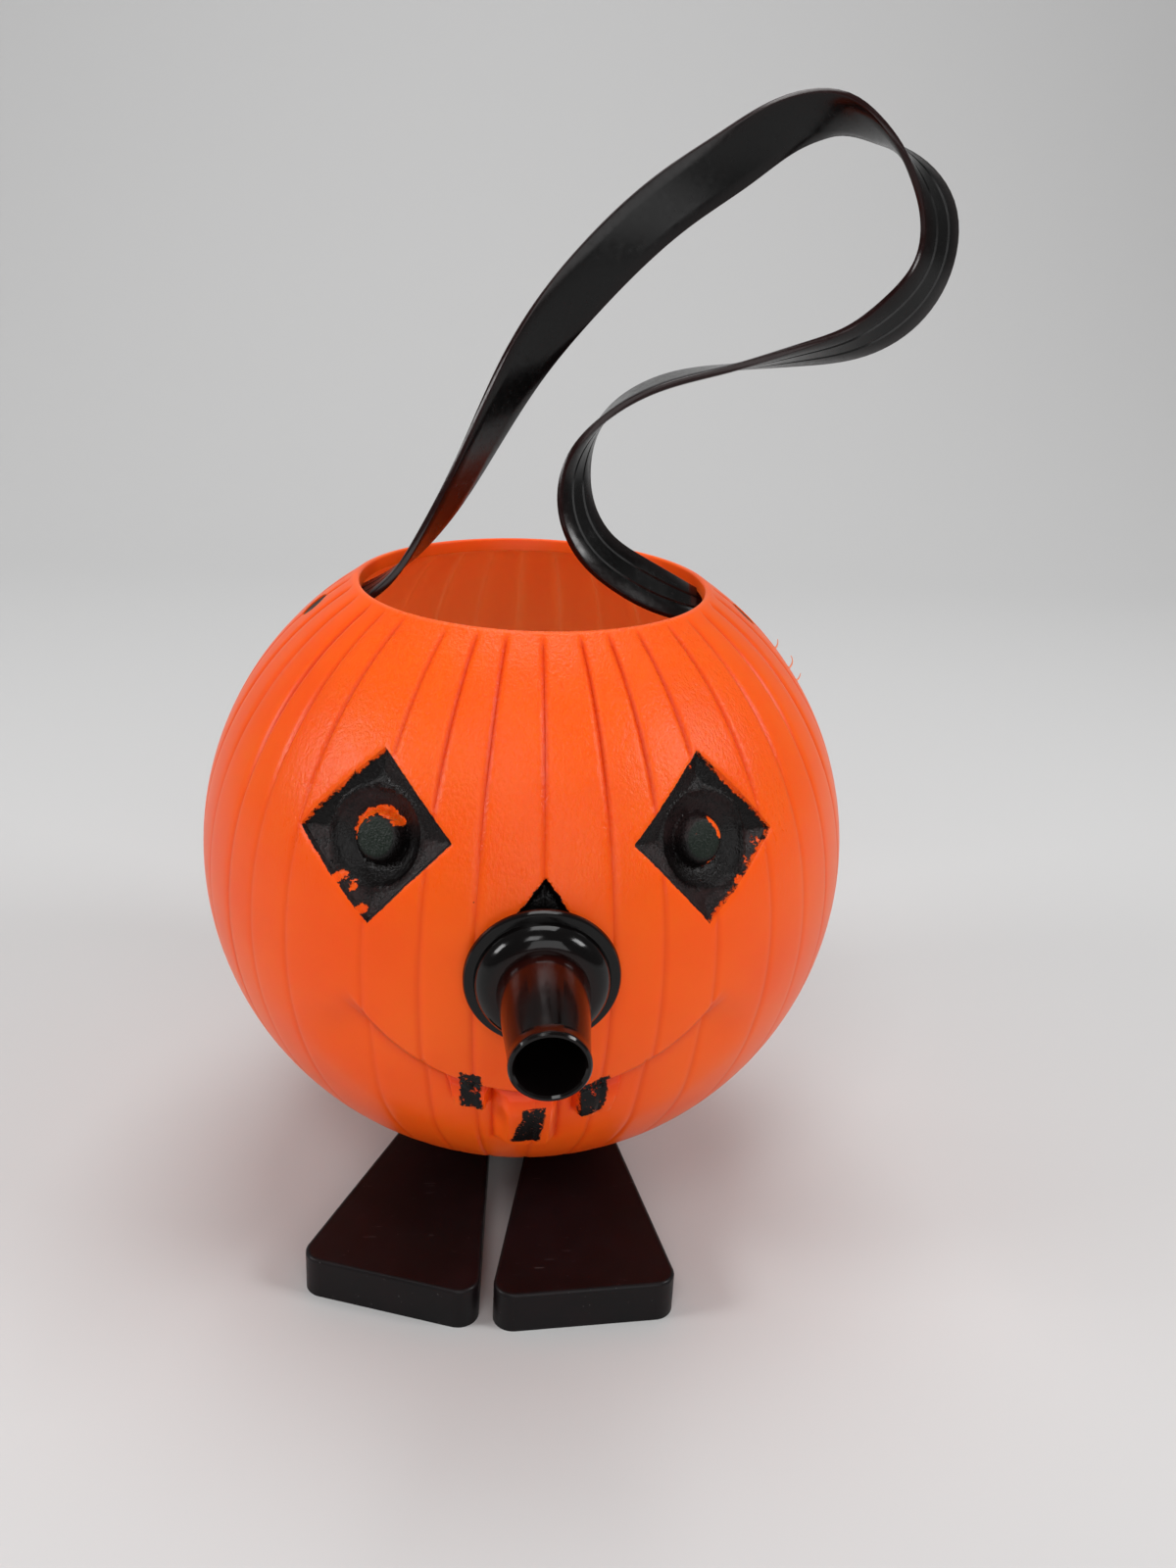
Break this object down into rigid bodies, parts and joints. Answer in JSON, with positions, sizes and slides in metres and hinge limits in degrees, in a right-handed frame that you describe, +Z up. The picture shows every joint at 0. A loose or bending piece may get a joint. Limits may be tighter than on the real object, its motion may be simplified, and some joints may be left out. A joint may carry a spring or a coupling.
{
  "type": "pumpkin candy pail",
  "caption": "Round jack-o'-lantern candy pail with sunk diamond eyes, a horn nose, a wide mouth, a flexible strap handle and a turning stand of splayed feet.",
  "frame": {"origin": "on the floor plane under the feet, below the pail's vertical axis", "axes": "+Z up along the pail's axis; the face looks towards -Y; +X is to the right of a viewer who faces it"},
  "size_m": [0.1674, 0.1802, 0.2516],
  "materials": {
    "orange_shell": "satin blow-moulded polyethylene with black paint in the eyes, nose and teeth",
    "black_gloss": "glossy black",
    "black_satin": "satin black",
    "strap_vinyl": "semi-gloss black vinyl",
    "reed": "thin rolled sheet"
  },
  "bodies": {
    "pail": {"pumpkin_shell": "orange_shell", "nose_horn": "black_gloss", "reed_plug": "black_gloss", "reed_tongue": "reed", "strap_end_left": "strap_vinyl", "strap_end_right": "strap_vinyl", "strap_button_left": "black_satin", "strap_button_right": "black_satin"},
    "handle": {"handle_strap": "strap_vinyl"},
    "stand": {"foot_stand": "black_satin"}
  },
  "joints": [
    {"name": "handle_swing", "type": "hinge", "parent": "pail", "child": "handle", "pos_m": [-0.03539, 0, 0.14508], "axis": [0.9998, 0, -0.0211], "range_deg": [-45, 45], "stiffness_Nm_per_rad": 0.05},
    {"name": "stand_turn", "type": "hinge", "parent": "pail", "child": "stand", "pos_m": [0, 0, 0.01], "axis": [0, 0, 1], "continuous": true}
  ]
}
